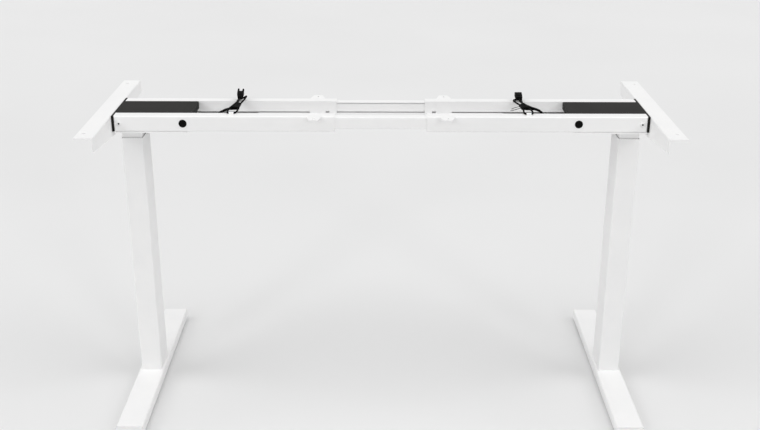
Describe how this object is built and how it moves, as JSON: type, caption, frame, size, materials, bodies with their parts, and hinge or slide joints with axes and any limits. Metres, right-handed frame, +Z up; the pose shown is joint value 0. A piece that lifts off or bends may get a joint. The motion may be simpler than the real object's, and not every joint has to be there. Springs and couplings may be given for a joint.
{
  "type": "standing desk frame",
  "caption": "Height-adjustable T-leg desk frame: two lifting columns on long feet, telescopic rails, end brackets and lugs for a desk top, motor covers and leads.",
  "frame": {"origin": "on the floor, at the middle of the frame, half way between the two columns", "axes": "+X to the right along the rails, +Y to the rear, +Z up"},
  "size_m": [1.296, 0.6, 0.7215],
  "materials": {
    "white_paint": "fine textured white powder coat on sheet steel and tube",
    "white_plastic": "satin white moulded plastic",
    "white_screw": "white coated screw heads",
    "zinc": "bright zinc-plated steel",
    "black_paint": "black painted steel",
    "dark_plastic": "dark charcoal moulded plastic",
    "black_plastic": "black moulded plastic",
    "natural_plastic": "natural acetal",
    "alloy": "die-cast",
    "lead_sheath": "black sheathed lead"
  },
  "bodies": {
    "left_leg": {"left_foot_tube": "white_paint", "left_foot_caps": "white_plastic", "left_foot_screws": "zinc", "left_outer_tube": "white_paint", "left_guide_bush": "dark_plastic", "left_push_tube": "zinc", "left_spindle_nut": "natural_plastic"},
    "left_front_foot": {"left_front_glide": "black_plastic"},
    "left_rear_foot": {"left_rear_glide": "black_plastic"},
    "left_head": {"left_inner_tube": "white_paint", "left_slide_collar": "natural_plastic", "left_spindle_bearing": "zinc", "left_gearbox": "alloy", "left_motor": "black_paint", "left_motor_tray": "white_paint", "left_tray_screws": "zinc", "left_motor_cover": "dark_plastic", "left_front_rail": "white_paint", "left_rear_rail": "white_paint", "left_frame_screws": "white_screw", "left_clamp_screws": "zinc", "left_hole_plugs": "black_plastic", "left_side_bracket": "white_paint", "left_lead_grommet": "black_plastic", "left_motor_lead": "lead_sheath", "left_lead_connector": "black_plastic"},
    "left_screw_drive": {"left_spindle": "zinc", "left_worm_wheel": "natural_plastic"},
    "left_worm": {"left_worm_shaft": "zinc"},
    "right_leg": {"right_foot_tube": "white_paint", "right_foot_caps": "white_plastic", "right_foot_screws": "zinc", "right_outer_tube": "white_paint", "right_guide_bush": "dark_plastic", "right_push_tube": "zinc", "right_spindle_nut": "natural_plastic"},
    "right_front_foot": {"right_front_glide": "black_plastic"},
    "right_rear_foot": {"right_rear_glide": "black_plastic"},
    "right_head": {"right_inner_tube": "white_paint", "right_slide_collar": "natural_plastic", "right_spindle_bearing": "zinc", "right_gearbox": "alloy", "right_motor": "black_paint", "right_motor_tray": "white_paint", "right_tray_screws": "zinc", "right_motor_cover": "dark_plastic", "right_front_rail": "white_paint", "right_rear_rail": "white_paint", "right_frame_screws": "white_screw", "right_clamp_screws": "zinc", "right_hole_plugs": "black_plastic", "right_side_bracket": "white_paint", "right_lead_grommet": "black_plastic", "right_motor_lead": "lead_sheath", "right_lead_connector": "black_plastic"},
    "right_screw_drive": {"right_spindle": "zinc", "right_worm_wheel": "natural_plastic"},
    "right_worm": {"right_worm_shaft": "zinc"},
    "centre_rails": {"centre_front_rail": "white_paint", "centre_rear_rail": "white_paint"}
  },
  "joints": [
    {"name": "lift_left", "type": "slide", "parent": "left_leg", "child": "left_head", "axis": [0, 0, 1], "range_m": [0, 0.45]},
    {"name": "width_left", "type": "slide", "parent": "left_head", "child": "centre_rails", "axis": [1, 0, 0], "range_m": [-0.07, 0.09]},
    {"name": "width_right", "type": "slide", "parent": "centre_rails", "child": "right_head", "axis": [1, 0, 0], "range_m": [-0.07, 0.09]},
    {"name": "lift_right", "type": "slide", "parent": "right_head", "child": "right_leg", "axis": [0, 0, -1], "range_m": [0, 0.45]},
    {"name": "spindle_left", "type": "hinge", "parent": "left_head", "child": "left_screw_drive", "pos_m": [-0.5725, 0, 0.672], "axis": [0, 0, 1], "range_deg": [0, 20260]},
    {"name": "worm_left", "type": "hinge", "parent": "left_head", "child": "left_worm", "pos_m": [-0.5725, 0.0173, 0.672], "axis": [1, 0, 0], "range_deg": [0, 202600]},
    {"name": "glide_left_front", "type": "slide", "parent": "left_leg", "child": "left_front_foot", "axis": [0, 0, -1], "range_m": [0, 0.01]},
    {"name": "glide_left_rear", "type": "slide", "parent": "left_leg", "child": "left_rear_foot", "axis": [0, 0, -1], "range_m": [0, 0.01]},
    {"name": "spindle_right", "type": "hinge", "parent": "right_head", "child": "right_screw_drive", "pos_m": [0.5725, 0, 0.672], "axis": [0, 0, 1], "range_deg": [0, 20260]},
    {"name": "worm_right", "type": "hinge", "parent": "right_head", "child": "right_worm", "pos_m": [0.5725, 0.0173, 0.672], "axis": [1, 0, 0], "range_deg": [0, 202600]},
    {"name": "glide_right_front", "type": "slide", "parent": "right_leg", "child": "right_front_foot", "axis": [0, 0, -1], "range_m": [0, 0.01]},
    {"name": "glide_right_rear", "type": "slide", "parent": "right_leg", "child": "right_rear_foot", "axis": [0, 0, -1], "range_m": [0, 0.01]}
  ],
  "couplings": [
    {"joint": "lift_right", "follows": "lift_left", "ratio": 1},
    {"joint": "spindle_left", "follows": "lift_left", "rad_per_m": 785.4},
    {"joint": "worm_left", "follows": "lift_left", "rad_per_m": 7854},
    {"joint": "spindle_right", "follows": "lift_left", "rad_per_m": 785.4},
    {"joint": "worm_right", "follows": "lift_left", "rad_per_m": 7854}
  ]
}
